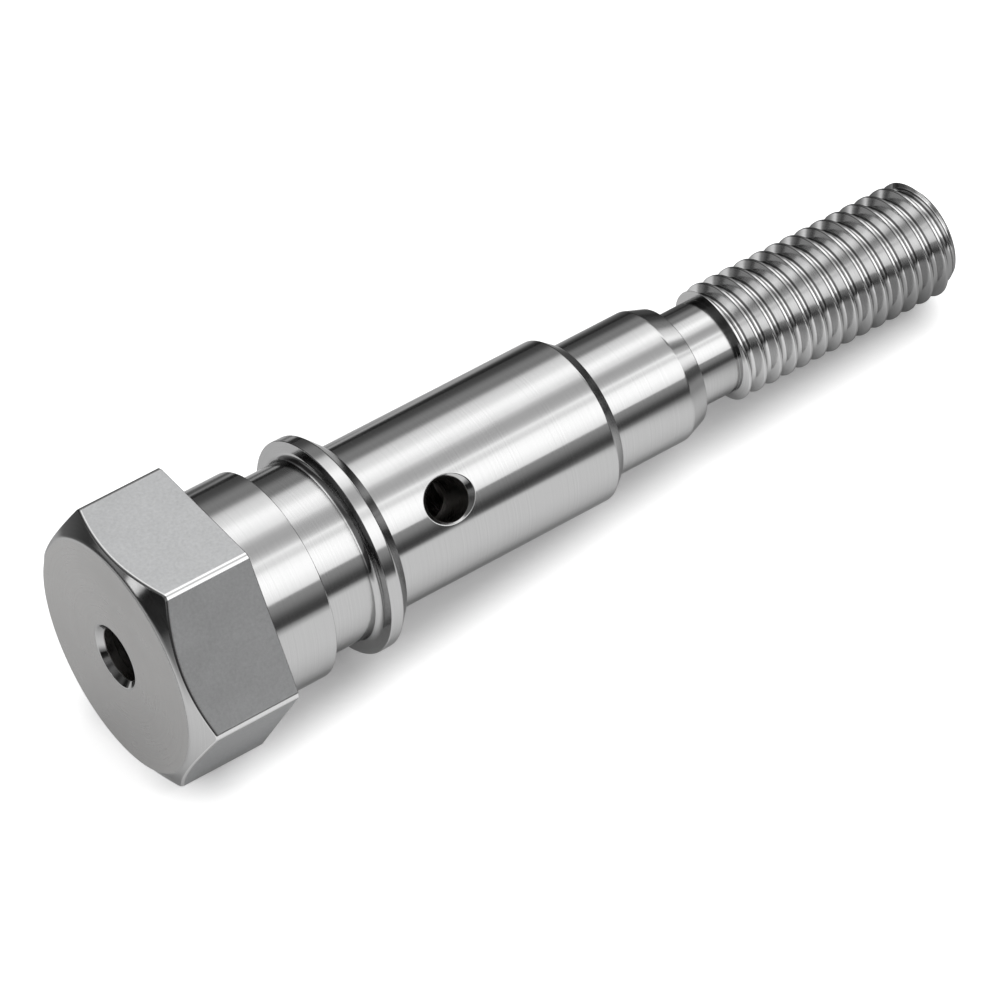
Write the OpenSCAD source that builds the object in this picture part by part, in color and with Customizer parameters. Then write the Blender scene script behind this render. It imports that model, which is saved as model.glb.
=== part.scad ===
// Banjo bolt turned from one bar of hexagon stainless steel.
// It lies at rest on the back edge of one flat of its head and on the end of its thread.
// The head is at -X, the thread points to +X and dips towards the floor, and the floor is z = 0.

/* [Head] */
// Distance across the flats
head_af = 16.8; // [16.4:0.1:19]
// Length of the hexagon
head_l = 7.2; // [5:0.1:12]
// Diameter of the flat end face inside the chamfer
head_face_d = 16.4; // [14:0.1:16.4]
// Height of the short round land between the end face and the chamfer
head_land_l = 0.2; // [0.1:0.05:0.5]
// Slope of the chamfer, measured from the end face
head_chamfer_a = 32; // [15:1:40]

/* [Collar and neck] */
// Diameter of the collar behind the hexagon
collar_d = 14.3; // [13:0.1:15]
// Length of the collar
collar_l = 4.55; // [1:0.05:8]
// Diameter of the neck in front of the flange
neck_d = 12.4; // [11:0.1:12.8]
// Length of the neck
neck_l = 3.95; // [1:0.05:8]
// Radius of the fillet between neck and flange
neck_fillet = 0.45; // [0.1:0.05:0.8]

/* [Flange] */
// Diameter of the thin flange
flange_d = 14.8; // [14.8:0.1:16]
// Width of its rim
flange_rim_l = 0.9; // [0.4:0.1:2]
// Chamfer on its back edge
flange_chamfer = 0.95; // [0.2:0.05:1.2]

/* [Shank] */
// Diameter of the shank that the banjo eye sits on
shank_d = 11.4; // [11:0.1:12]
// Length of the shank with its end chamfer
shank_l = 17.9; // [12:0.1:30]
// Length of the chamfer at the end of the shank
shank_chamfer_l = 0.85; // [0.2:0.05:1.5]
// Depth of the chamfer at the end of the shank
shank_chamfer_h = 0.65; // [0.2:0.05:0.75]

/* [Pilot] */
// Diameter of the pilot between shank and thread
pilot_d = 9.3; // [8.6:0.1:9.8]
// Length of the pilot with its end chamfer
pilot_l = 7.4; // [3:0.05:15]
// Length of the chamfer at the end of the pilot
pilot_chamfer_l = 1.45; // [0.2:0.05:2]
// Depth of the chamfer at the end of the pilot
pilot_chamfer_h = 0.5; // [0.1:0.05:0.8]

/* [Thread] */
// Diameter over the crests of the thread
thread_d = 8; // [8:0.1:8.2]
// Distance from one turn to the next
thread_pitch = 1.25; // [1.1:0.05:1.5]
// Length of the thread with its end chamfer
thread_l = 17.8; // [8:0.05:30]
// Width of the flat on each crest
thread_crest_w = 0.16; // [0.12:0.01:0.25]
// Depth of the groove below the crest
thread_depth = 0.66; // [0.5:0.01:0.66]
// Length of the chamfer at the end of the thread
thread_chamfer_l = 0.6; // [0.3:0.05:1.2]
// Diameter of the flat end face
thread_end_d = 6.6; // [5:0.1:6.6]
// Diameter of the relief between pilot and thread
relief_d = 6.6; // [5:0.1:6.6]
// Length of the relief
relief_l = 3.3; // [1.5:0.05:6]

/* [Passages] */
// Diameter of the blind bore along the axis
bore_d = 3.6; // [2.5:0.1:4]
// Depth of the full bore from the end face
bore_l = 25.2; // [25:0.1:32]
// Point angle of the drill that made the bore
bore_point_a = 118; // [90:1:140]
// Diameter of the countersink at the bore's mouth
bore_mouth_d = 4.4; // [4.2:0.1:6]
// Diameter of the hole across the shank into the bore
cross_d = 2.9; // [2:0.1:3.4]
// Distance of the cross hole's centre from the flange's back
cross_x = 4.9; // [3:0.05:7]
// Turn of the cross hole round the axis, from straight up towards -Y
cross_turn = 50; // [0:1:85]
// Width of the broken edge round the mouth of the cross hole
cross_edge = 0.15; // [0.1:0.05:0.4]

/* [Hidden] */
$fn = 96;
// Overshoot of every cutting shape past the face it cuts
over = 0.5;
// Stations along the axis, from the end face of the head
x_collar = head_l;
x_neck = x_collar + collar_l;
x_flange = x_neck + neck_l;
x_shank = x_flange + flange_rim_l + flange_chamfer;
x_pilot = x_shank + shank_l;
x_relief = x_pilot + pilot_l;
x_thread = x_relief + relief_l;
x_end = x_thread + thread_l;
x_last_crest = x_end - thread_chamfer_l;
// Tilt at rest: a line from the flat's back edge to the thread's last crest lies on the floor
rest_tilt = atan2((head_af - thread_d) / 2, x_last_crest - head_l);
// Height of the axis above the floor, measured at the end face of the head
rest_z = head_l * sin(rest_tilt) + head_af / 2 * cos(rest_tilt);
// Ends of the part along X, so that the origin is below its middle
rest_x_min = -head_face_d / 2 * sin(rest_tilt);
rest_x_max = x_end * cos(rest_tilt) + thread_end_d / 2 * sin(rest_tilt);
rest_x = -(rest_x_min + rest_x_max) / 2;
// Circle through the corners of the hexagon
head_corner_d = head_af / cos(30);
// Section of the helical groove, with its flanks carried on a little past the crest
groove_over = 0.08;
groove_flank_a = 30;
groove_half_root = (thread_pitch - thread_crest_w) / 2 - thread_depth * tan(groove_flank_a);
groove_half_top = groove_half_root + (thread_depth + groove_over) * tan(groove_flank_a);
groove_steps = 24;
groove_turns = ceil(thread_l / thread_pitch) + 2;

// The round body from the hexagon to the thread's end, as one turned outline
module turned_body() {
    fillet_steps = 8;
    fillet = [for (i = [0 : fillet_steps]) let (a = 90 * i / fillet_steps)
        [neck_d / 2 + neck_fillet * (1 - cos(a)), x_flange - neck_fillet * (1 - sin(a))]];
    rotate_extrude()
        polygon(concat(
            [[0, x_collar - over],
             [collar_d / 2, x_collar - over],
             [collar_d / 2, x_neck],
             [neck_d / 2, x_neck]],
            fillet,
            [[flange_d / 2, x_flange],
             [flange_d / 2, x_flange + flange_rim_l],
             [flange_d / 2 - flange_chamfer, x_shank],
             [shank_d / 2, x_shank],
             [shank_d / 2, x_pilot - shank_chamfer_l],
             [shank_d / 2 - shank_chamfer_h, x_pilot],
             [pilot_d / 2, x_pilot],
             [pilot_d / 2, x_relief - pilot_chamfer_l],
             [pilot_d / 2 - pilot_chamfer_h, x_relief],
             [relief_d / 2, x_relief],
             [relief_d / 2, x_thread],
             [thread_d / 2, x_thread],
             [thread_d / 2, x_last_crest],
             [thread_end_d / 2, x_end],
             [0, x_end]]));
}

// The hexagon with its end chamfered by a cone
module hex_head() {
    // The cone is carried on past the corners
    cone_d = head_corner_d + 2 * over;
    cone_h = (cone_d - head_face_d) / 2 * tan(head_chamfer_a);
    intersection() {
        rotate(30)
            cylinder(d = head_corner_d, h = head_l, $fn = 6);
        rotate_extrude()
            polygon([
                [0, 0],
                [head_face_d / 2, 0],
                [head_face_d / 2, head_land_l],
                [cone_d / 2, head_land_l + cone_h],
                [cone_d / 2, head_l + over],
                [0, head_l + over]]);
    }
}

// One ring of the groove's section, turned by angle a and moved along by z
function groove_ring(a, z) = [
    for (p = [[thread_d / 2 - thread_depth, -groove_half_root],
              [thread_d / 2 - thread_depth, groove_half_root],
              [thread_d / 2 + groove_over, groove_half_top],
              [thread_d / 2 + groove_over, -groove_half_top]])
        [p[0] * cos(a), p[0] * sin(a), z + p[1]]];

// The groove that a tool cuts as the bolt turns, from past one end of the thread to past the other
module thread_groove() {
    rings = groove_turns * groove_steps;
    points = [for (i = [0 : rings]) let (turn = i / groove_steps)
        each groove_ring(360 * turn, x_thread + thread_pitch * (turn - 1))];
    last = 4 * rings;
    faces = concat(
        [[0, 1, 2, 3]],
        [for (i = [0 : rings - 1], k = [0 : 3]) let (b = 4 * i, m = (k + 1) % 4)
            each [[b + k, b + 4 + k, b + m], [b + m, b + 4 + k, b + 4 + m]]],
        [[last + 3, last + 2, last + 1, last]]);
    polyhedron(points = points, faces = faces);
}

// The blind bore with its countersunk mouth and drill point
module axial_bore() {
    mouth_l = (bore_mouth_d - bore_d) / 2;
    point_l = bore_d / 2 / tan(bore_point_a / 2);
    translate([0, 0, -over])
        cylinder(d = bore_d, h = bore_l + over);
    translate([0, 0, bore_l])
        cylinder(d1 = bore_d, d2 = 0, h = point_l);
    translate([0, 0, -over])
        cylinder(d1 = bore_mouth_d + 2 * over, d2 = bore_d, h = mouth_l + over);
}

// The hole from the shank's surface into the bore, with a broken edge
module cross_hole() {
    edge_r = cross_d / 2 + cross_edge;
    // On a round shank the edge starts where the widened hole meets the surface
    edge_h = sqrt(pow(shank_d / 2, 2) - pow(edge_r, 2));
    translate([0, 0, x_shank + cross_x])
        rotate([0, 90, 180 + cross_turn]) {
            cylinder(d = cross_d, h = shank_d / 2 + over);
            translate([0, 0, edge_h - cross_edge])
                cylinder(r1 = cross_d / 2, r2 = cross_d / 2 + 4 * cross_edge, h = 4 * cross_edge);
        }
}

// The whole bolt, with its axis on Z and the end face of its head at z = 0
module bolt_upright() {
    difference() {
        union() {
            hex_head();
            turned_body();
        }
        thread_groove();
        axial_bore();
        cross_hole();
    }
}

// The bolt as it lies on the floor
module bolt() {
    color("silver")
        translate([rest_x, 0, rest_z])
            rotate([0, 90 + rest_tilt, 0])
                bolt_upright();
}

bolt();
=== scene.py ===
"""A banjo bolt of turned stainless steel, lying on a pale floor under plain studio light."""

import math

import bpy
import numpy as np
from mathutils import Matrix, Vector


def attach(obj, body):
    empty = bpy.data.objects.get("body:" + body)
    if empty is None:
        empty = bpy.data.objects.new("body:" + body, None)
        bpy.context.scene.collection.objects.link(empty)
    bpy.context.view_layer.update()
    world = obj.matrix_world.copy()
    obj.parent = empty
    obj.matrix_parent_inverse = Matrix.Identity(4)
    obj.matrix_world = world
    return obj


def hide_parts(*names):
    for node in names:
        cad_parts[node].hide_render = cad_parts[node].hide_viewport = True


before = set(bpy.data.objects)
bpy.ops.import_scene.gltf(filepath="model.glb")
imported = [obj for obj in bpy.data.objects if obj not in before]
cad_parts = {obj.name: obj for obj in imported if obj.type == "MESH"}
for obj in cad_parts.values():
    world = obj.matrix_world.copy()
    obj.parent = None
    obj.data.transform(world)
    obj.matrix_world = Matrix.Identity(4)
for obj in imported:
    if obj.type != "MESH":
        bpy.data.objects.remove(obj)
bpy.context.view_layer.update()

# Lengths below are in millimetres, and the mesh and the camera are in metres
MM = 0.001

# Head
HEAD_AF = 16.8
HEAD_L = 7.2
HEAD_FACE_D = 16.4
HEAD_LAND = 0.2
HEAD_CHAMFER_A = 32
HEAD_CORNER_R = 0.5
# Collar and neck
COLLAR_D = 14.3
COLLAR_L = 4.55
NECK_D = 12.4
NECK_L = 3.95
NECK_FILLET = 0.45
# Flange
FLANGE_D = 14.8
FLANGE_RIM_L = 0.9
FLANGE_CHAMFER = 0.95
# Shank
SHANK_D = 11.4
SHANK_L = 17.9
SHANK_CHAMFER_L = 0.85
SHANK_CHAMFER_H = 0.65
# Pilot
PILOT_D = 9.3
PILOT_L = 7.4
PILOT_CHAMFER_L = 1.45
PILOT_CHAMFER_H = 0.5
# Thread and relief
RELIEF_D = 6.6
RELIEF_L = 3.3
THREAD_D = 8.0
THREAD_PITCH = 1.25
THREAD_L = 17.8
THREAD_CREST_W = 0.16
THREAD_DEPTH = 0.66
THREAD_CHAMFER_L = 0.6
THREAD_END_D = 6.6
THREAD_FLANK_A = 30
# Passages
BORE_D = 3.6
BORE_L = 25.2
BORE_POINT_A = 118
BORE_MOUTH_D = 4.4
CROSS_D = 2.9
CROSS_X = 4.9
CROSS_TURN = 50
CROSS_EDGE = 0.15

# Stations along the axis, from the end face of the head
X_NECK = HEAD_L + COLLAR_L
X_FLANGE = X_NECK + NECK_L
X_SHANK = X_FLANGE + FLANGE_RIM_L + FLANGE_CHAMFER
X_PILOT = X_SHANK + SHANK_L
X_RELIEF = X_PILOT + PILOT_L
X_THREAD = X_RELIEF + RELIEF_L
X_END = X_THREAD + THREAD_L
X_LAST_CREST = X_END - THREAD_CHAMFER_L
X_CROSS = X_SHANK + CROSS_X

# The bolt lies on the back edge of one flat and on the thread's last crest
TILT = math.atan2((HEAD_AF - THREAD_D) / 2, X_LAST_CREST - HEAD_L)
REST_Z = HEAD_L * math.sin(TILT) + HEAD_AF / 2 * math.cos(TILT)
REST_X_MIN = -HEAD_FACE_D / 2 * math.sin(TILT)
REST_X_MAX = X_END * math.cos(TILT) + THREAD_END_D / 2 * math.sin(TILT)
REST_X = -(REST_X_MIN + REST_X_MAX) / 2
# Along the axis, up across it, and across it towards the near side
AXIS = np.array([math.cos(TILT), 0, -math.sin(TILT)])
UP = np.array([math.sin(TILT), 0, math.cos(TILT)])
NEAR = np.array([0, -1, 0])
REST = np.array([REST_X, 0, REST_Z])

FULL_TURN = 2 * math.pi
# From one flat of the hexagon to the next
SIDE_TURN = math.pi / 3

# How finely the surfaces are divided
FLAT_COLUMNS = 24
CORNER_COLUMNS = 7
BORE_COLUMNS = 60
ROUND_STEPS = 3
FILLET_STEPS = 5
CONE_SHARES = (0.5, 1)
ROOT_SHARES = (0.3, 0.6, 0.85, 1)
# Points with the same place and normal to these digits are one point
PLACE_DIGITS = 4
NORMAL_DIGITS = 3
SMALLEST_AREA = 1e-9
SAME_ANGLE = 1e-6

# Widths of the small rounded edges
EDGE = 0.05
SOFT_EDGE = 0.08
RUBBED_EDGE = 0.18
# Where the middle row of the rubbed edge lies, and how far its normals lean away from the flat
RUBBED_SHARE = 0.25
RUBBED_LEAN = 22
# The facet round the end face: its inner edge in shares of EDGE, and how its normals lean out
FACET_SINK = 0.3
FACET_REACH = 0.7
FACET_LEANS = (0.15, 0.5)
# The back of the head is joined to the turned body on a ring this far outside the collar
COLLAR_SEAM = 0.3
# Rounding between relief and thread, and the rings beside it, which stay below the groove's root
RELIEF_SOFT = 0.015
RELIEF_SEAM = 0.02
RELIEF_CLEAR = 0.03
# Half width of the rounding on each edge of a crest, and the ring round the thread's end faces
THREAD_SOFT = 0.03
THREAD_RING = 0.03
# The thread's grid starts this many turns before the thread, and has so many turns to spare
THREAD_LEAD = 1.5
THREAD_SPARE = 3

# The opening that the round body leaves for the cross hole
HOLE_REACH = 2.35
HOLE_ROWS = 20
HOLE_SHARES = (0.35, 0.7, 1)
# Rounds in which the outline of the hole's broken edge is found
MOUTH_ROUNDS = 20
# The opening that the bore's wall leaves for the cross hole
BORE_GAP_SPARE = 0.35
BORE_GAP_TURN = 66
BORE_GAP_ROWS = 10
# The bore's mouth: slope of its countersink, rounding of its edges, and the ring round it
BORE_SINK_A = 45
BORE_MOUTH_SOFT = 0.04
BORE_MOUTH_RING = 0.12
BORE_POINT_SOFT = 0.03
# Bands of the mouth that have the turned finish, counted from the end face
BORE_MOUTH_BANDS = 3

# Finishes of the steel, with the values that steel() takes
STEELS = {
    "turned": dict(
        color=(0.50, 0.50, 0.50), roughness=0.13, anisotropy=0.8,
        grooves=0.05, grain=0.01, smudge=0.02, edge_tint=0.45,
    ),
    "drawn": dict(
        color=(0.56, 0.565, 0.57), roughness=0.38, anisotropy=0.2,
        grooves=0.0, grain=0.09, smudge=0.02, fineness=4.5, edge_tint=0.4,
    ),
    "cut": dict(
        color=(0.60, 0.60, 0.60), roughness=0.14, anisotropy=0.5,
        grooves=0.04, grain=0.02, smudge=0.03, edge_tint=0.5,
    ),
    "drilled": dict(
        color=(0.42, 0.41, 0.40), roughness=0.3, anisotropy=0.5,
        grooves=0.1, grain=0.05, smudge=0.04,
    ),
    "faced": dict(
        color=(0.475, 0.47, 0.465), roughness=0.3, anisotropy=0.55,
        grooves=0.06, grain=0.03, smudge=0.03,
    ),
    "rubbed": dict(
        color=(0.66, 0.66, 0.66), roughness=0.14, anisotropy=0.0,
        grooves=0.0, grain=0.02, smudge=0.02,
    ),
}
FINISH = {name: k for k, name in enumerate(STEELS)}
# Stretches the highlight across the grooves
ANISOTROPIC_TURN = 0.25
# Grooves are counted along the axis and, by this share, outwards, so that faces have them too
GROOVE_OUTWARDS = 0.83
# Scale per millimetre, detail and roughness of the noise. The grain's scale is its fineness
GROOVE_NOISE = (9.0, 6.0, 0.75)
GRAIN_NOISE = (4.0, 0.7)
SMUDGE_NOISE = (0.55, 3.0, 0.5)
# Nearly all of the noise lies between these values
NOISE_RANGE = (0.3, 0.7)
# How far the grooves vary the roughness, as a share of how far they vary the colour
GROOVE_GLOSS = 0.5
# Relief of the finish: its strength, its depth, and how much the grain counts in it
BUMP_STRENGTH = 0.25
BUMP_DEPTH = 0.002
BUMP_GRAIN = 8

# Floor
FLOOR_SIZE = 3.0
FLOOR_WHITE = 0.86
# Painted shade, seen only in mirrors: the floor's white falls off with the distance from the
# middle. Distances from the middle, with the share of the white that is left there
FLOOR_PAINTED_FALLOFF = [(0, 1), (52, 1), (60, 0.85), (75, 0.6), (100, 0.4), (145, 0.27), (400, 0.18)]
# Painted shade, seen only in mirrors: the white falls off again towards the thread's end. Between
# which places, and what is left
FLOOR_PAINTED_END = (12, 30)
FLOOR_PAINTED_END_TONE = 0.42
# Painted shade on the far side, seen only in mirrors: the edges of the darker parts along the bolt
# and across it, and what is left there
FLOOR_FAR_PAINTED_SHADE = [((10, 22), (4, 12), 0.42), ((8, -4), (28, 40), 0.25)]
# Painted shadow in the glow: the glow grows with the distance from a strip under the bolt, of this
# half length
FLOOR_PAINTED_SHADOW_HALF = 28.5
# The strip is wider at the head: places along the bolt, and its half width there
FLOOR_PAINTED_SHADOW_ALONG = (-30, 10)
FLOOR_PAINTED_SHADOW_WIDTH = (4, 1)
# Distances from the strip, and the glow there
FLOOR_PAINTED_SHADOW = (0, 5)
FLOOR_GLOW_AND_PAINTED_SHADOW = (0.14, 0.85)
# The share of the glow that mirrors and glass show
FLOOR_MIRRORED = 0.6

# Studio light: tall soft lights and dark gaps round the bolt's axis, above the horizon
# Each entry is the angle from straight up towards the near side, in degrees, and the strength
STUDIO = [
    (-90, 0.6), (-84, 0.33), (-78, 0.19), (-73, 0.19), (-68, 0.31), (-62, 0.39), (-52, 0.35),
    (-48, 0.5), (-44, 1.03), (-39, 1.26), (-31, 1.39), (-26.5, 1.57), (-23, 1.83), (-18, 1.91),
    (-10, 1.72), (-4, 1.53), (0, 1.08), (5, 0.8), (12, 0.72), (17, 0.82), (21, 1.1),
    (24.5, 1.71), (28, 1.43), (32, 1.35), (37, 1.86), (44, 1.99), (52, 1.94), (59, 1.73),
    (66.5, 1.44), (67, 0.44), (79, 0.42), (90, 0.3),
]
STUDIO_PEAK = 2.0
# The lights reach towards the thread: where along the axis they fade in from the head's side,
# and what is left of the far and near ones before that, with the angles between far and near
STUDIO_FADE = (-0.15, 0.2)
STUDIO_FAR_REST = 0.1
STUDIO_NEAR_REST = 0.12
STUDIO_SIDES = (-5, 15)
# They end above the floor: the heights of that edge, and what is left below it
STUDIO_EDGE = (0.02, 0.28)
STUDIO_LOW_REST = 0.3
# The gap between the main lights: its angle, its inner and outer half width in degrees,
# its depth, and where along the axis it opens
GAP_ANGLE = -2
GAP_WIDTH = (6, 14)
GAP_DEPTH = 0.7
GAP_FADE = (0.44, 0.53)
# The wall that the thread points to
END_FADE = (0.9, 0.97)
END_REST = 0.22
# A small light and a dim wall beyond the head: direction, inner and outer half width in
# degrees, and strength
SPOTS = [
    ((-0.916, 0.379, 0.1305), (3, 5), 1.6),
    ((-0.764, 0.641, 0.07), (5, 20), 0.3),
]

# Camera
CAMERA_AIM = (-5.787, -5.016, 9.0)
CAMERA_DISTANCE = 399.77
CAMERA_AZIMUTH = -120.969
CAMERA_ELEVATION = 46.697
CAMERA_ROLL = -7.256
CAMERA_LENS = 229.72
CAMERA_SENSOR = 36
# In metres
CAMERA_CLIP = (0.01, 10)


def swing(turn, middle):
    """How far a turn is from the middle one, up to half a turn to either side."""
    return (turn - middle + math.pi) % FULL_TURN - math.pi


class Shell:
    """Collects points that carry their own normals, and the faces between them."""

    def __init__(self):
        self.points = []
        self.normals = []
        self.faces = []
        self.finishes = []
        self.known = {}

    def point(self, s, r, turn, n_s, n_r, n_t=0.0):
        """A point at station s and radius r, with a normal along the axis, outwards and round."""
        c, w = math.cos(turn), math.sin(turn)
        place = REST + AXIS * s + (UP * c + NEAR * w) * r
        normal = AXIS * n_s + UP * (c * n_r - w * n_t) + NEAR * (w * n_r + c * n_t)
        normal = normal / np.linalg.norm(normal)
        key = tuple(np.round(place, PLACE_DIGITS)) + tuple(np.round(normal, NORMAL_DIGITS))
        if key not in self.known:
            self.known[key] = len(self.points)
            self.points.append(place)
            self.normals.append(normal)
        return self.known[key]

    def row(self, s, r, n_s, n_r):
        """A closed row of points round the axis, one for each column."""
        return [self.point(s, r, turn, n_s, n_r) for turn in TURNS]

    def face(self, corners, finish):
        """Adds a face, turned to the side that its normals point to."""
        ring = []
        for c in corners:
            if c not in ring:
                ring.append(c)
        if len(ring) < 3:
            return
        p = [self.points[c] for c in ring]
        across = np.cross(p[1] - p[0], p[2] - p[0])
        if len(ring) == 4:
            across = np.cross(p[2] - p[0], p[3] - p[1])
        if np.linalg.norm(across) < SMALLEST_AREA:
            return
        if across @ sum(self.normals[c] for c in ring) < 0:
            ring.reverse()
        self.faces.append(ring)
        self.finishes.append(FINISH[finish])

    def band(self, row_a, row_b, finish, skip=()):
        """Quads between two closed rows of the same length."""
        count = len(row_a)
        for j in range(count):
            if j not in skip:
                k = (j + 1) % count
                self.face([row_a[j], row_a[k], row_b[k], row_b[j]], finish)

    def fan(self, row, middle, finish):
        """Triangles from a closed row to a point in its middle."""
        for j in range(len(row)):
            self.face([row[j], row[(j + 1) % len(row)], middle], finish)

    def lace(self, ring_a, ring_b, finish):
        """Triangles between two closed rings of (angle, point)."""
        ring_a = sorted(ring_a)
        ring_b = sorted(ring_b)
        # Both rings are walked from the same side
        nearest = min(ring_b, key=lambda entry: abs(swing(entry[0], ring_a[0][0])))
        ring_b = sorted((a + FULL_TURN * (a < nearest[0]), p) for a, p in ring_b)
        ring_a.append((ring_a[0][0] + FULL_TURN, ring_a[0][1]))
        ring_b.append((ring_b[0][0] + FULL_TURN, ring_b[0][1]))
        last_a, last_b = len(ring_a) - 1, len(ring_b) - 1
        i = j = 0
        while i < last_a or j < last_b:
            if j == last_b or (i < last_a and ring_a[i + 1][0] <= ring_b[j + 1][0]):
                self.face([ring_a[i][1], ring_a[i + 1][1], ring_b[j][1]], finish)
                i += 1
            else:
                self.face([ring_a[i][1], ring_b[j + 1][1], ring_b[j][1]], finish)
                j += 1

    def build(self, name, materials):
        mesh = bpy.data.meshes.new(name)
        mesh.from_pydata([tuple(p * MM) for p in self.points], [], self.faces)
        for material in materials:
            mesh.materials.append(material)
        mesh.polygons.foreach_set("material_index", self.finishes)
        mesh.polygons.foreach_set("use_smooth", [True] * len(self.faces))
        mesh.normals_split_custom_set_from_vertices([tuple(n) for n in self.normals])
        mesh.update()
        made = bpy.data.objects.new(name, mesh)
        bpy.context.scene.collection.objects.link(made)
        return made


def head_columns():
    """Turn, radius and direction of the normal round the hexagon, one entry for each column."""
    half = HEAD_AF / 2
    corner_side = (half - HEAD_CORNER_R) * math.tan(SIDE_TURN / 2)
    flat_end = math.atan2(corner_side, half)
    corner_r = (half - HEAD_CORNER_R) / math.cos(SIDE_TURN / 2)
    columns = []
    for k in range(6):
        middle = SIDE_TURN * k
        for i in range(FLAT_COLUMNS + 1):
            a = flat_end * (2 * i / FLAT_COLUMNS - 1)
            columns.append(((middle + a) % FULL_TURN, half / math.cos(a), middle))
        corner = middle + SIDE_TURN / 2
        for i in range(1, CORNER_COLUMNS + 1):
            facing = middle + SIDE_TURN * i / (CORNER_COLUMNS + 1)
            x = corner_r * math.cos(corner) + HEAD_CORNER_R * math.cos(facing)
            y = corner_r * math.sin(corner) + HEAD_CORNER_R * math.sin(facing)
            columns.append((math.atan2(y, x) % FULL_TURN, math.hypot(x, y), facing))
    return sorted(columns)


COLUMNS = head_columns()
TURNS = [turn for turn, r, facing in COLUMNS]


def outline(corners):
    """Rows (station, radius, normal along, normal out) of a turned outline.

    Each corner is a station, a radius and how far its rounding reaches to both sides.
    """
    places = [np.array(corner[:2]) for corner in corners]
    ways = [(b - a) / np.linalg.norm(b - a) for a, b in zip(places, places[1:])]
    rows = []
    for i, (s, r, soft) in enumerate(corners):
        if i in (0, len(corners) - 1):
            way = ways[0] if i == 0 else ways[-1]
            rows.append((s, r, -way[1], way[0]))
            continue
        # A curve through both tangent points, with the corner as its control point
        here, before, after = places[i], ways[i - 1], ways[i]
        start, end = here - before * soft, here + after * soft
        for step in range(ROUND_STEPS + 1):
            f = step / ROUND_STEPS
            p = (1 - f) ** 2 * start + 2 * f * (1 - f) * here + f**2 * end
            t = (1 - f) * before + f * after
            t = t / np.linalg.norm(t)
            rows.append((p[0], p[1], -t[1], t[0]))
    return rows


def cone_station(r):
    """Where the chamfer cone of the head reaches a radius."""
    return HEAD_LAND + (r - HEAD_FACE_D / 2) * math.tan(math.radians(HEAD_CHAMFER_A))


def build_head(shell):
    """The hexagon from its end face to the ring where its back meets the collar."""
    slope = math.radians(HEAD_CHAMFER_A)
    face_r = HEAD_FACE_D / 2
    flat_r = face_r - HEAD_LAND
    cone = (-math.cos(slope), math.sin(slope))
    rows = [
        shell.row(0, flat_r, -1, 0),
        shell.row(EDGE * FACET_SINK, flat_r + EDGE * FACET_REACH, -1, FACET_LEANS[0]),
        shell.row(HEAD_LAND - EDGE, face_r - EDGE, -1, FACET_LEANS[1]),
        shell.row(cone_station(face_r + EDGE), face_r + EDGE, *cone),
    ]
    for share in CONE_SHARES:
        row = []
        for turn, r, facing in COLUMNS:
            cone_r = face_r + EDGE + (r - SOFT_EDGE - face_r - EDGE) * share
            row.append(shell.point(cone_station(cone_r), cone_r, turn, *cone))
        rows.append(row)

    def sides(stations, sink=0.0, lean=0.0):
        """A row on the hexagon's sides, with normals that lean towards the front."""
        row = []
        for s, (turn, r, facing) in zip(stations, COLUMNS):
            n_r, n_t = math.cos(facing - turn), math.sin(facing - turn)
            out = math.cos(lean)
            row.append(shell.point(s, r - sink, turn, -math.sin(lean), out * n_r, out * n_t))
        return row

    # The edge between cone and flats is rubbed round, mostly on the side of the flats
    edges = [cone_station(r) for turn, r, facing in COLUMNS]
    middle = (RUBBED_EDGE - SOFT_EDGE * math.sin(slope)) * RUBBED_SHARE
    lean = math.radians(RUBBED_LEAN)
    rows.append(sides([s + middle for s in edges], SOFT_EDGE * RUBBED_SHARE, lean))
    rows.append(sides([s + RUBBED_EDGE for s in edges]))
    rows.append(sides([(s + RUBBED_EDGE + HEAD_L) / 2 for s in edges]))
    rows.append(sides([HEAD_L - SOFT_EDGE for s in edges]))
    row = []
    for turn, r, facing in COLUMNS:
        x = r * math.cos(turn) - SOFT_EDGE * math.cos(facing)
        y = r * math.sin(turn) - SOFT_EDGE * math.sin(facing)
        row.append(shell.point(HEAD_L, math.hypot(x, y), math.atan2(y, x), 1, 0))
    rows.append(row)
    # The flats have a finish of their own, and the rounded corners between them are rubbed
    facings = [facing for turn, r, facing in COLUMNS]
    steps = list(zip(facings, facings[1:] + facings[:1]))
    on_flat = [j for j, (a, b) in enumerate(steps) if abs(a - b) < SAME_ANGLE]
    on_corner = [j for j, (a, b) in enumerate(steps) if abs(a - b) >= SAME_ANGLE]
    finishes = ["turned"] * 5 + ["rubbed"] * 2 + ["drawn"] * 2 + ["turned"]
    for a, b, finish in zip(rows, rows[1:], finishes):
        shell.band(a, b, finish, on_corner if finish == "drawn" else ())
        if finish == "drawn":
            shell.band(a, b, "rubbed", on_flat)
    return rows[0], rows[-1]


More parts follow.
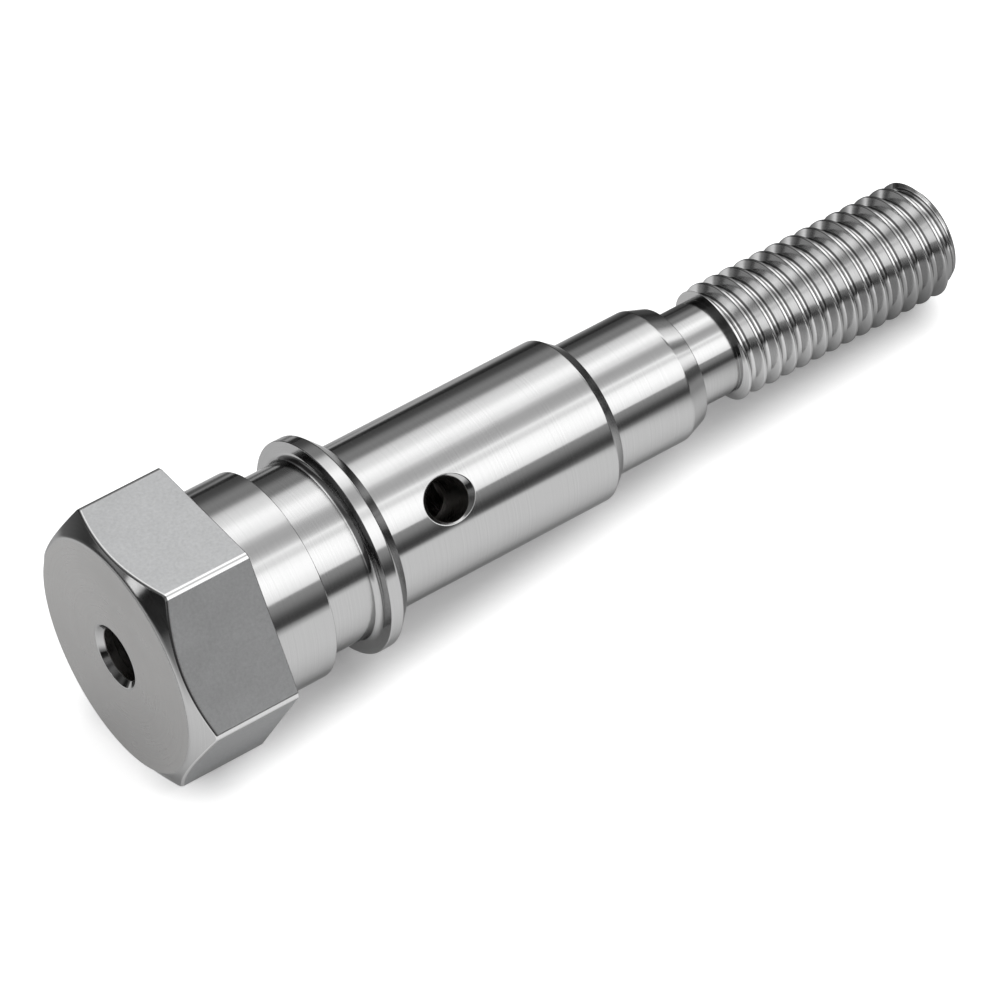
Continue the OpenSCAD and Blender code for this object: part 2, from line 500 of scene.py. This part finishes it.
def build_body(shell, head_back):
    """The turned outline from the head's back to the thread, open for the cross hole.

    Gives back its last row, and the edge of the end face round the bore's mouth.
    """
    fillet = []
    for i in range(FILLET_STEPS + 1):
        a = math.pi / 2 * i / FILLET_STEPS
        s = X_FLANGE - NECK_FILLET * (1 - math.sin(a))
        r = NECK_D / 2 + NECK_FILLET * (1 - math.cos(a))
        fillet.append((s, r, -math.sin(a), math.cos(a)))
    front = outline([
        (HEAD_L, COLLAR_D / 2 + COLLAR_SEAM, 0),
        (HEAD_L, COLLAR_D / 2, 0.1),
        (X_NECK, COLLAR_D / 2, 0.1),
        (X_NECK, NECK_D / 2, 0.06),
        (X_FLANGE - NECK_FILLET, NECK_D / 2, 0),
    ])
    back = outline([
        (X_FLANGE, NECK_D / 2 + NECK_FILLET, 0),
        (X_FLANGE, FLANGE_D / 2, 0.07),
        (X_FLANGE + FLANGE_RIM_L, FLANGE_D / 2, 0.09),
        (X_SHANK, FLANGE_D / 2 - FLANGE_CHAMFER, 0.07),
        (X_SHANK, SHANK_D / 2, 0.06),
        (X_PILOT - SHANK_CHAMFER_L, SHANK_D / 2, 0.08),
        (X_PILOT, SHANK_D / 2 - SHANK_CHAMFER_H, 0.06),
        (X_PILOT, PILOT_D / 2, 0.06),
        (X_RELIEF - PILOT_CHAMFER_L, PILOT_D / 2, 0.08),
        (X_RELIEF, PILOT_D / 2 - PILOT_CHAMFER_H, 0.07),
        (X_RELIEF, RELIEF_D / 2, 0.08),
        (X_THREAD, RELIEF_D / 2, RELIEF_SOFT),
        (X_THREAD, RELIEF_D / 2 + RELIEF_SEAM, 0),
    ])
    rows = front[:-1] + fillet + back[1:]
    # Rows beside the cross hole, so that its opening has enough points round it
    inside = [X_CROSS + HOLE_REACH * (2 * i / HOLE_ROWS - 1) for i in range(HOLE_ROWS + 1)]
    first = next(i for i, row in enumerate(rows) if row[0] > X_CROSS)
    rows[first:first] = [(s, SHANK_D / 2, 0, 1) for s in inside]
    grid = [shell.row(*row) for row in rows]
    shell.band(head_back, grid[0], "turned")
    columns = hole_columns()
    for i, (a, b) in enumerate(zip(grid, grid[1:])):
        beside = first <= i < first + HOLE_ROWS
        shell.band(a, b, "turned", range(*columns) if beside else ())
    mouth = build_cross_hole(shell, columns, inside)
    return grid[-1], mouth


def hole_columns():
    """The first and the last column of the opening for the cross hole."""
    middle = math.radians(CROSS_TURN)
    reach = HOLE_REACH / (SHANK_D / 2)
    inside = [j for j, turn in enumerate(TURNS) if abs(turn - middle) < reach]
    return inside[0], inside[-1]


def build_cross_hole(shell, columns, stations):
    """The hole from the shank's surface into the bore, with its broken edge."""
    middle = math.radians(CROSS_TURN)
    big_r = SHANK_D / 2
    bore_r = BORE_D / 2
    hole_r = CROSS_D / 2
    edge_r = hole_r + CROSS_EDGE
    edge_h = math.sqrt(big_r**2 - edge_r**2) - CROSS_EDGE

    def on_shank(s, turn):
        return shell.point(s, big_r, turn, 0, 1)

    first, last = columns
    border = [(stations[0], TURNS[j]) for j in range(first, last)]
    border += [(s, TURNS[last]) for s in stations[:-1]]
    border += [(stations[-1], TURNS[j]) for j in range(last, first, -1)]
    border += [(s, TURNS[first]) for s in stations[:0:-1]]
    angles = [math.atan2((turn - middle) * big_r, s - X_CROSS) for s, turn in border]

    def in_hole(r, h, a, n_out, n_up):
        """A point at radius r and height h of the hole's own axis, with its normal."""
        across = r * math.sin(a)
        lean = math.atan2(across, h)
        n_side = n_out * math.sin(a)
        n_r = n_up * math.cos(lean) + n_side * math.sin(lean)
        n_t = -n_up * math.sin(lean) + n_side * math.cos(lean)
        s = X_CROSS + r * math.cos(a)
        return shell.point(s, math.hypot(across, h), middle + lean, n_out * math.cos(a), n_r, n_t)

    # The radius at which the broken edge meets the shank's surface
    mouth = []
    for a in angles:
        r = edge_r
        for _ in range(MOUTH_ROUNDS):
            r = hole_r + math.sqrt(big_r**2 - (r * math.sin(a)) ** 2) - edge_h
        mouth.append(r)
    rings = [[on_shank(s, turn) for s, turn in border]]
    for share in HOLE_SHARES:
        ring = []
        for (s, turn), a, r in zip(border, angles, mouth):
            end_s = X_CROSS + (r + EDGE) * math.cos(a)
            end_turn = middle + math.asin((r + EDGE) * math.sin(a) / big_r)
            ring.append(on_shank(s + (end_s - s) * share, turn + (end_turn - turn) * share))
        rings.append(ring)
    rings.append([
        in_hole(r - EDGE, edge_h + r - EDGE - hole_r, a, -1, 1) for a, r in zip(angles, mouth)
    ])
    rings.append([in_hole(hole_r + EDGE, edge_h + EDGE, a, -1, 1) for a in angles])
    broken_edge = len(rings) - 1
    rings.append([in_hole(hole_r, edge_h - EDGE, a, -1, 0) for a in angles])
    rings.append([in_hole(hole_r, (edge_h + bore_r) / 2, a, -1, 0) for a in angles])
    bottom = [math.sqrt(bore_r**2 - (hole_r * math.sin(a)) ** 2) for a in angles]
    rings.append([in_hole(hole_r, h + EDGE, a, -1, 0) for h, a in zip(bottom, angles)])
    for i, (a, b) in enumerate(zip(rings, rings[1:])):
        shell.band(a, b, "turned" if i < broken_edge else "drilled")
    # The bore's wall has an opening of its own, which is laced to the hole's lower edge
    lower = []
    low_r = hole_r + EDGE / 2
    for a in angles:
        lean = math.asin(low_r * math.sin(a) / bore_r)
        point = shell.point(X_CROSS + low_r * math.cos(a), bore_r, middle + lean, 0, -1)
        lower.append((a, point))
    shell.band(rings[-1], [point for a, point in lower], "drilled")
    return build_bore(shell, lower)


def build_bore(shell, cross_ring):
    """The blind bore with its countersunk mouth and drill point, open for the cross hole.

    Gives back its outer ring, which lies in the head's end face.
    """
    r = BORE_D / 2
    mouth_r = BORE_MOUTH_D / 2
    sink_l = mouth_r - r
    middle = math.radians(CROSS_TURN)
    gap_s = CROSS_D / 2 + BORE_GAP_SPARE
    gap_turn = math.radians(BORE_GAP_TURN)
    sink_a = math.radians(BORE_SINK_A)
    sink = (-math.sin(sink_a), -math.cos(sink_a))
    point_a = math.radians(BORE_POINT_A / 2)
    point_r = r - BORE_POINT_SOFT * math.tan(point_a)
    turns = [FULL_TURN * j / BORE_COLUMNS for j in range(BORE_COLUMNS)]
    stations = [
        X_CROSS - gap_s + 2 * gap_s * i / BORE_GAP_ROWS for i in range(BORE_GAP_ROWS + 1)
    ]
    rows = [
        (0, mouth_r + BORE_MOUTH_RING, -1, 0),
        (0, mouth_r + BORE_MOUTH_SOFT, -1, 0),
        (BORE_MOUTH_SOFT, mouth_r - BORE_MOUTH_SOFT, *sink),
        (sink_l - BORE_MOUTH_SOFT, r + BORE_MOUTH_SOFT, *sink),
        (sink_l + BORE_MOUTH_SOFT, r, 0, -1),
    ]
    first = len(rows)
    rows += [(s, r, 0, -1) for s in stations]
    rows.append((BORE_L - EDGE, r, 0, -1))
    rows.append((BORE_L + BORE_POINT_SOFT, point_r, -math.sin(point_a), -math.cos(point_a)))
    grid = [[shell.point(*row[:2], turn, *row[2:]) for turn in turns] for row in rows]
    # The columns of the opening, in the order of their turn
    gap = [j for j, turn in enumerate(turns) if abs(swing(turn, middle)) < gap_turn]
    gap.sort(key=lambda j: swing(turns[j], middle))
    for i, (a, b) in enumerate(zip(grid, grid[1:])):
        skip = gap[:-1] if first <= i < first + BORE_GAP_ROWS else ()
        shell.band(a, b, "turned" if i < BORE_MOUTH_BANDS else "drilled", skip)
    shell.fan(grid[-1], shell.point(BORE_L + r / math.tan(point_a), 0, 0, -1, 0), "drilled")
    border = []
    for i, s in enumerate(stations):
        for j in gap:
            if i in (0, BORE_GAP_ROWS) or j in (gap[0], gap[-1]):
                angle = math.atan2(swing(turns[j], middle) * r, s - X_CROSS)
                border.append((angle, grid[first + i][j]))
    shell.lace(border, cross_ring, "drilled")
    return list(zip(turns, grid[0]))


def groove_distance(s, turn):
    """How far along the axis a point is from the middle of the nearest groove."""
    phase = (s - X_THREAD) / THREAD_PITCH - (turn + math.pi) / FULL_TURN
    return (phase - round(phase)) * THREAD_PITCH


def build_thread(shell, relief_end):
    """The thread as a sheared grid: every row follows the helix, cut off at both ends."""
    flank = math.radians(THREAD_FLANK_A)
    crest_r = THREAD_D / 2
    half = THREAD_PITCH / 2
    crest_start = half - THREAD_CREST_W / 2
    # The root is an arc that touches both flanks and the groove's bottom
    root_r = (crest_r - THREAD_DEPTH) - (crest_r - crest_start / math.tan(flank))
    root_center = crest_r - THREAD_DEPTH + root_r
    root_half = root_r * math.cos(flank)
    fall = (crest_r - THREAD_END_D / 2) / THREAD_CHAMFER_L

    def surface(s, turn):
        """Radius and normal of the thread at a station."""
        away = groove_distance(s, turn)
        side = -1 if away > 0 else 1
        d = abs(away)
        if d <= root_half:
            lean = math.asin(d / root_r)
            r = root_center - root_r * math.cos(lean)
            n = (side * math.sin(lean), math.cos(lean))
        elif d < crest_start - THREAD_SOFT:
            r = crest_r - (crest_start - d) / math.tan(flank)
            n = (side * math.cos(flank), math.sin(flank))
        elif d < crest_start + THREAD_SOFT:
            # The crest's edge is turned gently from the flank to the crest
            f = (d - crest_start + THREAD_SOFT) / (2 * THREAD_SOFT)
            r = crest_r - (1 - f) ** 2 * THREAD_SOFT / math.tan(flank)
            n = (side * math.cos(flank) * (1 - f), math.sin(flank) * (1 - f) + f)
        else:
            r, n = crest_r, (0, 1)
        limit = crest_r - (s - X_LAST_CREST) * fall
        if s > X_LAST_CREST and limit < r:
            r, n = limit, (fall, 1)
        return r, n

    steps = [0] + [root_half * share for share in ROOT_SHARES]
    steps += [crest_start - THREAD_SOFT, crest_start, crest_start + THREAD_SOFT, half]
    steps += [THREAD_PITCH - d for d in reversed(steps[1:-1])]
    per_turn = len(steps)
    last = int(THREAD_L / THREAD_PITCH + THREAD_SPARE) * per_turn - 1
    columns = []
    for turn in TURNS:
        column = []
        for k in range(last + 1):
            lap, step = divmod(k, per_turn)
            s = X_THREAD + THREAD_PITCH * (lap - THREAD_LEAD + turn / FULL_TURN) + steps[step]
            s = min(max(s, X_THREAD), X_END)
            r, n = surface(s, turn)
            # The helix leans the normals of the flanks a little
            n_t = -n[0] * THREAD_PITCH / (FULL_TURN * r)
            column.append(shell.point(s, r, turn, *n, n_t))
        columns.append(column)
    for j, here in enumerate(columns):
        # The last column is joined to the first one, a turn further on
        closing = here is columns[-1]
        there = columns[0] if closing else columns[j + 1]
        ahead = per_turn if closing else 0
        for k in range(last):
            a, b = min(k + ahead, last), min(k + 1 + ahead, last)
            shell.face([here[k], there[a], there[b], here[k + 1]], "cut")
    # The faces at both ends
    inner, outer = [], []
    for turn in TURNS:
        r, n = surface(X_THREAD, turn)
        inner_r = max(r - THREAD_RING, RELIEF_D / 2 + RELIEF_CLEAR)
        inner.append(shell.point(X_THREAD, inner_r, turn, -1, 0))
        outer.append(shell.point(X_THREAD, r, turn, *n))
    shell.band(relief_end, inner, "turned")
    shell.band(inner, outer, "turned")
    rim = [column[-1] for column in columns]
    flat = shell.row(X_END, THREAD_END_D / 2 - THREAD_RING, 1, 0)
    shell.band(rim, flat, "turned")
    shell.fan(flat, shell.point(X_END, 0, 0, 1, 0), "turned")


class Tree:
    """The emptied node tree of a material or a world, with short ways to fill it."""

    def __init__(self, owner):
        owner.use_nodes = True
        self.tree = owner.node_tree
        self.tree.nodes.clear()

    def feed(self, socket, value):
        """Links a node's output to a socket, or sets the socket to a constant."""
        if isinstance(value, bpy.types.NodeSocket):
            self.tree.links.new(value, socket)
        else:
            socket.default_value = value

    def node(self, kind, inputs=()):
        """A new node, with inputs by their name or number."""
        made = self.tree.nodes.new(kind)
        for socket, value in dict(inputs).items():
            self.feed(made.inputs[socket], value)
        return made

    def math(self, operation, *values):
        made = self.node("ShaderNodeMath", enumerate(values))
        made.operation = operation
        return made.outputs[0]

    def times(self, a, b):
        return self.math("MULTIPLY", a, b)

    def length(self, a, b):
        """The length of a way that goes a along one axis and b along another."""
        return self.math("SQRT", self.math("ADD", self.times(a, a), self.times(b, b)))

    def vector_math(self, operation, *values):
        made = self.node("ShaderNodeVectorMath", enumerate(values))
        made.operation = operation
        return made

    def remap(self, value, start, end, low, high, smooth=True):
        """Turns a value between start and end into one between low and high."""
        made = self.node("ShaderNodeMapRange", {
            "Value": value, "From Min": start, "From Max": end, "To Min": low, "To Max": high,
        })
        if smooth:
            made.interpolation_type = "SMOOTHSTEP"
        return made.outputs[0]

    def ramp(self, value, stops):
        """Grey tones at places between 0 and 1."""
        made = self.node("ShaderNodeValToRGB", {0: value})
        elements = made.color_ramp.elements
        while len(elements) > 1:
            elements.remove(elements[-1])
        for k, (position, tone) in enumerate(stops):
            stop = elements[0] if k == 0 else elements.new(position)
            stop.position = position
            stop.color = (tone, tone, tone, 1)
        return made.outputs[0]

    def add_shaders(self, a, b):
        return self.node("ShaderNodeAddShader", {0: a.outputs[0], 1: b.outputs[0]})


def steel(name, color, roughness, anisotropy, grooves, grain, smudge, fineness=14.0, edge_tint=0.6):
    """Bare steel. Grooves run round the axis, grain is even, and smudges vary the gloss."""
    material = bpy.data.materials.new(name)
    tree = Tree(material)
    place = tree.node("ShaderNodeTexCoord").outputs["Object"]
    # The bolt's own directions, in millimetres
    mapping = tree.node("ShaderNodeMapping")
    mapping.vector_type = "TEXTURE"
    mapping.inputs["Location"].default_value = REST * MM
    mapping.inputs["Rotation"].default_value = (0, TILT, 0)
    mapping.inputs["Scale"].default_value = (MM, MM, MM)
    tree.feed(mapping.inputs["Vector"], place)
    local = mapping.outputs[0]
    station, side, height = tree.node("ShaderNodeSeparateXYZ", {0: local}).outputs
    track = tree.math("ADD", station, tree.times(tree.length(side, height), GROOVE_OUTWARDS))

    def noise(dimensions, socket, value, scale, detail, rough):
        made = tree.node("ShaderNodeTexNoise")
        made.noise_dimensions = dimensions
        for key, number in (("Scale", scale), ("Detail", detail), ("Roughness", rough)):
            made.inputs[key].default_value = number
        tree.feed(made.inputs[socket], value)
        return made.outputs[0]

    def spread(value, middle, amount):
        low, high = middle - amount, middle + amount
        return tree.remap(value, *NOISE_RANGE, low, high, smooth=False)

    lines = noise("1D", "W", track, *GROOVE_NOISE)
    specks = noise("3D", "Vector", local, fineness, *GRAIN_NOISE)
    clouds = noise("3D", "Vector", local, *SMUDGE_NOISE)
    tinted = tree.vector_math("SCALE", color)
    tone = tree.times(spread(lines, 1, grooves), spread(specks, 1, grain))
    tree.feed(tinted.inputs["Scale"], tone)
    gloss = tree.math(
        "ADD", spread(clouds, roughness, smudge), spread(lines, 0, grooves * GROOVE_GLOSS)
    )
    bump = tree.node("ShaderNodeBump", {
        "Strength": BUMP_STRENGTH,
        "Distance": BUMP_DEPTH * MM,
        "Height": tree.math("ADD", lines, tree.times(specks, grain * BUMP_GRAIN)),
    })
    # The grooves run round the axis, on faces as well as on cylinders
    outward = tree.vector_math("SUBTRACT", place, REST * MM)
    round_way = tree.vector_math("CROSS_PRODUCT", AXIS, outward.outputs[0])
    shader = tree.node("ShaderNodeBsdfPrincipled", {
        "Base Color": tinted.outputs[0],
        "Metallic": 1.0,
        "Roughness": gloss,
        "Specular Tint": (edge_tint, edge_tint, edge_tint, 1),
        "Anisotropic": anisotropy,
        "Anisotropic Rotation": ANISOTROPIC_TURN,
        "Normal": bump.outputs[0],
        "Tangent": round_way.outputs[0],
    })
    tree.node("ShaderNodeOutputMaterial", {"Surface": shader.outputs[0]})
    return material


def build_bolt():
    """The whole bolt as one closed mesh."""
    shell = Shell()
    face_edge, head_back = build_head(shell)
    relief_end, mouth = build_body(shell, head_back)
    build_thread(shell, relief_end)
    shell.lace(list(zip(TURNS, face_edge)), mouth, "faced")
    materials = [steel(name + "_steel", **values) for name, values in STEELS.items()]
    return shell.build("banjo_bolt", materials)


def build_floor():
    """A wide sheet, white for the camera, whose shadow is partly painted, as is its shade in
    mirrors.
    """
    mesh = bpy.data.meshes.new("floor")
    h = FLOOR_SIZE / 2
    mesh.from_pydata([(-h, -h, 0), (h, -h, 0), (h, h, 0), (-h, h, 0)], [], [(0, 1, 2, 3)])
    floor = bpy.data.objects.new("floor", mesh)
    bpy.context.scene.collection.objects.link(floor)
    material = bpy.data.materials.new("pale_floor")
    mesh.materials.append(material)
    tree = Tree(material)
    path = tree.node("ShaderNodeLightPath").outputs
    place = tree.node("ShaderNodeTexCoord").outputs["Object"]
    along, across, _ = tree.node("ShaderNodeSeparateXYZ", {0: place}).outputs

    def falls(value, start, end, low):
        return tree.remap(value, start * MM, end * MM, 1.0, low)

    # Painted shade for mirrors: the sheet's white falls off far from the bolt
    full = FLOOR_PAINTED_FALLOFF[-1][0]
    reach = tree.math("DIVIDE", tree.length(along, across), full * MM)
    sheet = tree.ramp(reach, [(distance / full, tone) for distance, tone in FLOOR_PAINTED_FALLOFF])
    # Painted shade for mirrors: they show the sheet darker beyond the thread, and more so on the
    # far side
    sheet = tree.times(sheet, falls(along, *FLOOR_PAINTED_END, FLOOR_PAINTED_END_TONE))
    # Painted shade on the far side, for mirrors only
    for lengthwise, crosswise, low in FLOOR_FAR_PAINTED_SHADE:
        far = tree.math("MAXIMUM", falls(along, *lengthwise, low), falls(across, *crosswise, low))
        sheet = tree.times(sheet, far)
    # The camera sees the sheet fully white; mirrors see it with its painted shade
    white = tree.math("MAXIMUM", sheet, path["Is Camera Ray"])
    tone = tree.times(white, FLOOR_WHITE)
    color = tree.node("ShaderNodeCombineXYZ", {"X": tone, "Y": tone, "Z": tone})
    matt = tree.node("ShaderNodeBsdfDiffuse", {"Color": color.outputs[0]})

    def outside(value, limit):
        """How far a value lies beyond a limit, on either side."""
        past = tree.math("SUBTRACT", tree.math("ABSOLUTE", value), limit)
        return tree.math("MAXIMUM", past, 0.0)

    # Painted shadow: the glow is weaker close to the bolt, within a strip under it, so the shadow
    # there is partly painted and partly cast
    strip = [length * MM for length in (*FLOOR_PAINTED_SHADOW_ALONG, *FLOOR_PAINTED_SHADOW_WIDTH)]
    width = tree.remap(along, *strip, smooth=False)
    off = tree.length(outside(along, FLOOR_PAINTED_SHADOW_HALF * MM), outside(across, width))
    near = tree.remap(off, *(length * MM for length in FLOOR_PAINTED_SHADOW), *FLOOR_GLOW_AND_PAINTED_SHADOW)
    mirrored = tree.math("MAXIMUM", path["Is Glossy Ray"], path["Is Transmission Ray"])
    seen = tree.math("MAXIMUM", path["Is Camera Ray"], tree.times(mirrored, FLOOR_MIRRORED))
    strength = tree.times(tree.times(seen, white), near)
    glow = tree.node("ShaderNodeEmission", {"Strength": strength})
    both = tree.add_shaders(matt, glow)
    tree.node("ShaderNodeOutputMaterial", {"Surface": both.outputs[0]})
    return floor


def build_world():
    """Studio light by direction, and a white background for the camera."""
    world = bpy.data.worlds.new("studio")
    bpy.context.scene.world = world
    tree = Tree(world)
    way = tree.node("ShaderNodeTexCoord").outputs["Generated"]

    def along(axis):
        return tree.vector_math("DOT_PRODUCT", way, axis).outputs["Value"]

    def degrees(*angles):
        return [math.radians(angle) for angle in angles]

    onward, upward = along(AXIS), along((0, 0, 1))
    angle = tree.math("ARCTAN2", along(NEAR), along(UP))
    share = tree.math("ADD", tree.math("DIVIDE", angle, math.pi), 0.5)
    stops = [(turn / 180 + 0.5, strength / STUDIO_PEAK) for turn, strength in STUDIO]
    color = tree.ramp(share, stops)
    rest = tree.remap(angle, *degrees(*STUDIO_SIDES), STUDIO_FAR_REST, STUDIO_NEAR_REST)
    strength = tree.times(
        tree.remap(onward, *STUDIO_FADE, rest, 1.0),
        tree.remap(upward, *STUDIO_EDGE, STUDIO_LOW_REST, 1.0),
    )
    # The gap between the two main lights widens towards the thread's end
    off_gap = tree.math("ABSOLUTE", tree.math("SUBTRACT", angle, math.radians(GAP_ANGLE)))
    gap = tree.times(
        tree.remap(off_gap, *degrees(*GAP_WIDTH), GAP_DEPTH, 0.0),
        tree.remap(onward, *GAP_FADE, 0.0, 1.0),
    )
    strength = tree.times(strength, tree.math("SUBTRACT", 1.0, gap))
    # The wall there is dim
    strength = tree.times(strength, tree.remap(onward, *END_FADE, 1.0, END_REST))
    studio = tree.node("ShaderNodeBackground", {
        "Color": color, "Strength": tree.times(strength, STUDIO_PEAK),
    })
    total = 0.0
    for direction, (inner, outer), amount in SPOTS:
        wide, narrow = (math.cos(width) for width in degrees(outer, inner))
        off = along(Vector(direction).normalized())
        total = tree.math("ADD", tree.remap(off, wide, narrow, 0.0, amount), total)
    spots = tree.node("ShaderNodeBackground", {"Color": (1, 1, 1, 1), "Strength": total})
    white = tree.node("ShaderNodeBackground", {"Color": (1, 1, 1, 1)})
    mix = tree.node("ShaderNodeMixShader", {
        0: tree.node("ShaderNodeLightPath").outputs["Is Camera Ray"],
        1: tree.add_shaders(studio, spots).outputs[0],
        2: white.outputs[0],
    })
    tree.node("ShaderNodeOutputWorld", {"Surface": mix.outputs[0]})


def build_camera():
    """The photo's view of the bolt."""
    data = bpy.data.cameras.new("camera")
    data.sensor_width = CAMERA_SENSOR
    data.lens = CAMERA_LENS
    data.clip_start, data.clip_end = CAMERA_CLIP
    azimuth, elevation = math.radians(CAMERA_AZIMUTH), math.radians(CAMERA_ELEVATION)
    level = math.cos(elevation)
    back = Vector((level * math.cos(azimuth), level * math.sin(azimuth), math.sin(elevation)))
    place = (Vector(CAMERA_AIM) + back * CAMERA_DISTANCE) * MM
    roll = Matrix.Rotation(math.radians(CAMERA_ROLL), 3, "Z")
    turned = back.to_track_quat("Z", "Y").to_matrix() @ roll
    camera = bpy.data.objects.new("camera", data)
    camera.matrix_world = Matrix.Translation(place) @ turned.to_4x4()
    bpy.context.scene.collection.objects.link(camera)
    bpy.context.scene.camera = camera


bolt = build_bolt()
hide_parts("bolt")
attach(bolt, "root")
floor = build_floor()
build_world()
build_camera()
bpy.context.scene.view_settings.view_transform = "Standard"
